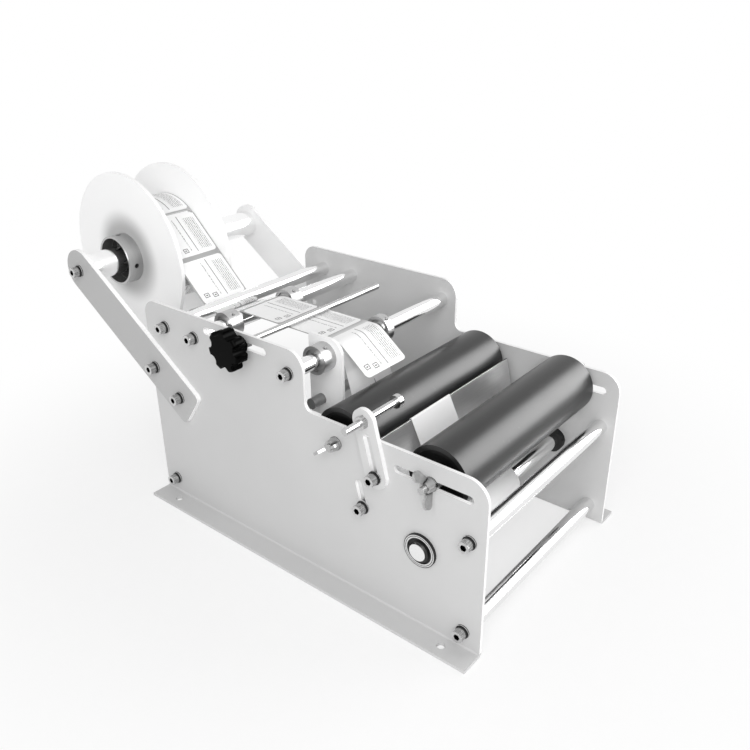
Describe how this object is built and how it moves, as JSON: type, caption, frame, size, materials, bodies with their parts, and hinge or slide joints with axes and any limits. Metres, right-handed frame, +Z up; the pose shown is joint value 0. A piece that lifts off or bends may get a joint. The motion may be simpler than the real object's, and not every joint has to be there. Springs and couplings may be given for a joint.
{
  "type": "manual bottle labelling machine",
  "caption": "Bench-top hand-cranked bottle labeller: a web runs from a reel over guide rods to a peel plate between two rubber rollers, and its liner winds up on the crank shaft.",
  "frame": {"origin": "centre of the four foot holes, on the floor plane", "axes": "+Y from the operator's rollers to the reel, +X to the crank side, +Z up"},
  "size_m": [0.3347, 0.5675, 0.3067],
  "materials": {
    "white_plate_paint": "satin powder coat",
    "polished_rod": "polished",
    "screw_steel": "zinc plated",
    "dark_screw_steel": "black oxide",
    "turned_steel": "turned",
    "shaft_tube": "polished",
    "disc_plastic": "translucent white",
    "hub_metal": "turned",
    "core_card": "plain",
    "roll_paper": "printed label stock",
    "web_paper": "printed label stock",
    "liner_paper": "glossy backing paper",
    "cheek_sheet": "satin",
    "roller_rubber": "satin",
    "roller_tube": "black",
    "peel_sheet": "satin",
    "bearing_metal": "plated",
    "crank_paint": "black",
    "grip_plastic": "gloss",
    "knob_plastic": "gloss"
  },
  "bodies": {
    "frame": {"near_side_plate": "white_plate_paint", "far_side_plate": "white_plate_paint", "rear_guide_rod": "polished_rod", "middle_guide_rod": "polished_rod", "front_guide_rod": "polished_rod", "upper_tie_rod": "polished_rod", "lower_front_tie_rod": "polished_rod", "lower_rear_tie_rod": "polished_rod", "frame_screws": "screw_steel", "frame_spring_washers": "dark_screw_steel", "frame_flat_washers": "screw_steel", "near_reel_arm": "white_plate_paint", "far_reel_arm": "white_plate_paint", "label_web": "web_paper", "lifted_label": "web_paper", "rear_roller_axle": "turned_steel", "shaft_bearings": "bearing_metal"},
    "reel": {"reel_shaft": "shaft_tube", "near_reel_hub": "hub_metal", "near_hub_set_screws": "dark_screw_steel", "near_reel_disc": "disc_plastic", "roll_core": "core_card", "label_roll": "roll_paper"},
    "far_disc": {"far_reel_hub": "hub_metal", "far_hub_set_screws": "dark_screw_steel", "far_reel_disc": "disc_plastic"},
    "rear_roller": {"rear_roller_body": "roller_tube", "rear_roller_sleeve": "roller_rubber"},
    "rear_wing_nuts": {"rear_wing_nuts": "screw_steel"},
    "front_axle": {"front_roller_axle": "turned_steel", "front_axle_washers": "screw_steel"},
    "front_roller": {"front_roller_body": "roller_tube", "front_roller_sleeve": "roller_rubber"},
    "front_wing_nuts": {"front_wing_nuts": "screw_steel"},
    "take_up": {"drive_shaft": "polished_rod", "shaft_retaining_rings": "dark_screw_steel", "wound_liner": "liner_paper", "crank_arm": "crank_paint", "crank_screw": "dark_screw_steel", "crank_pin": "screw_steel"},
    "crank_grip": {"crank_grip": "grip_plastic"},
    "peel": {"peel_plate": "peel_sheet", "peel_screws": "screw_steel", "peel_spring_washers": "dark_screw_steel", "peel_nuts": "screw_steel"},
    "stop_clamp": {"stop_clamp_screw": "screw_steel", "stop_clamp_nut": "screw_steel"},
    "stop_strap": {"stop_strap": "turned_steel", "stop_pin_nuts": "screw_steel"},
    "stop_pin": {"stop_pin": "screw_steel"},
    "hold_down": {"hold_down_rod": "polished_rod", "hold_down_nut": "screw_steel"},
    "star_knob": {"star_knob": "knob_plastic"},
    "near_middle_collar": {"near_middle_collar": "turned_steel"},
    "far_middle_collar": {"far_middle_collar": "turned_steel"},
    "near_guide": {"near_front_collar": "turned_steel", "near_web_cheek": "cheek_sheet", "cheek_crossbar": "dark_screw_steel"},
    "far_front_collar": {"far_front_collar": "turned_steel"}
  },
  "joints": [
    {"name": "reel_spin", "type": "hinge", "parent": "frame", "child": "reel", "pos_m": [0, 0.28812, 0.21929], "axis": [1, 0, 0], "continuous": true},
    {"name": "far_disc_slide", "type": "slide", "parent": "reel", "child": "far_disc", "axis": [1, 0, 0], "range_m": [0, 0.085]},
    {"name": "rear_roller_spin", "type": "hinge", "parent": "frame", "child": "rear_roller", "pos_m": [0, -0.0477, 0.1418], "axis": [1, 0, 0], "continuous": true},
    {"name": "rear_wing_nuts_turn", "type": "hinge", "parent": "frame", "child": "rear_wing_nuts", "pos_m": [0, -0.0477, 0.1418], "axis": [1, 0, 0], "continuous": true},
    {"name": "front_axle_shift", "type": "slide", "parent": "frame", "child": "front_axle", "axis": [0, 1, 0], "range_m": [-0.028, 0.025]},
    {"name": "front_roller_spin", "type": "hinge", "parent": "front_axle", "child": "front_roller", "pos_m": [0, -0.142, 0.1418], "axis": [1, 0, 0], "continuous": true},
    {"name": "front_wing_nuts_turn", "type": "hinge", "parent": "front_axle", "child": "front_wing_nuts", "pos_m": [0, -0.142, 0.1418], "axis": [1, 0, 0], "continuous": true},
    {"name": "take_up_spin", "type": "hinge", "parent": "frame", "child": "take_up", "pos_m": [0, -0.134, 0.0773], "axis": [1, 0, 0], "continuous": true},
    {"name": "crank_grip_spin", "type": "hinge", "parent": "take_up", "child": "crank_grip", "pos_m": [0, -0.07762, 0.05678], "axis": [1, 0, 0], "continuous": true},
    {"name": "peel_plate_slide", "type": "slide", "parent": "frame", "child": "peel", "axis": [0, 0.2351, 0.972], "range_m": [-0.003, 0]},
    {"name": "stop_swing", "type": "hinge", "parent": "frame", "child": "stop_clamp", "pos_m": [0, -0.0918, 0.1289], "axis": [1, 0, 0], "range_deg": [-12, 30]},
    {"name": "stop_strap_slide", "type": "slide", "parent": "stop_clamp", "child": "stop_strap", "axis": [0, 0.2487, 0.9686], "range_m": [-0.0055, 0]},
    {"name": "stop_pin_travel", "type": "slide", "parent": "stop_strap", "child": "stop_pin", "axis": [1, 0, 0], "range_m": [-0.02, 0.012]},
    {"name": "hold_down_shift", "type": "slide", "parent": "frame", "child": "hold_down", "axis": [0, 1, 0], "range_m": [-0.026, 0.04]},
    {"name": "star_knob_turn", "type": "hinge", "parent": "hold_down", "child": "star_knob", "pos_m": [0, 0.058, 0.2004], "axis": [1, 0, 0], "continuous": true},
    {"name": "near_middle_collar_shift", "type": "slide", "parent": "frame", "child": "near_middle_collar", "axis": [1, 0, 0], "range_m": [-0.031, 0.0075]},
    {"name": "far_middle_collar_shift", "type": "slide", "parent": "frame", "child": "far_middle_collar", "axis": [1, 0, 0], "range_m": [-0.0007, 0.089]},
    {"name": "near_guide_shift", "type": "slide", "parent": "frame", "child": "near_guide", "axis": [1, 0, 0], "range_m": [-0.027, 0.0085]},
    {"name": "far_front_collar_shift", "type": "slide", "parent": "frame", "child": "far_front_collar", "axis": [1, 0, 0], "range_m": [-0.002, 0.093]}
  ],
  "couplings": [
    {"joint": "reel_spin", "follows": "take_up_spin", "ratio": -0.292},
    {"joint": "rear_roller_spin", "follows": "take_up_spin", "ratio": 0.5893}
  ]
}
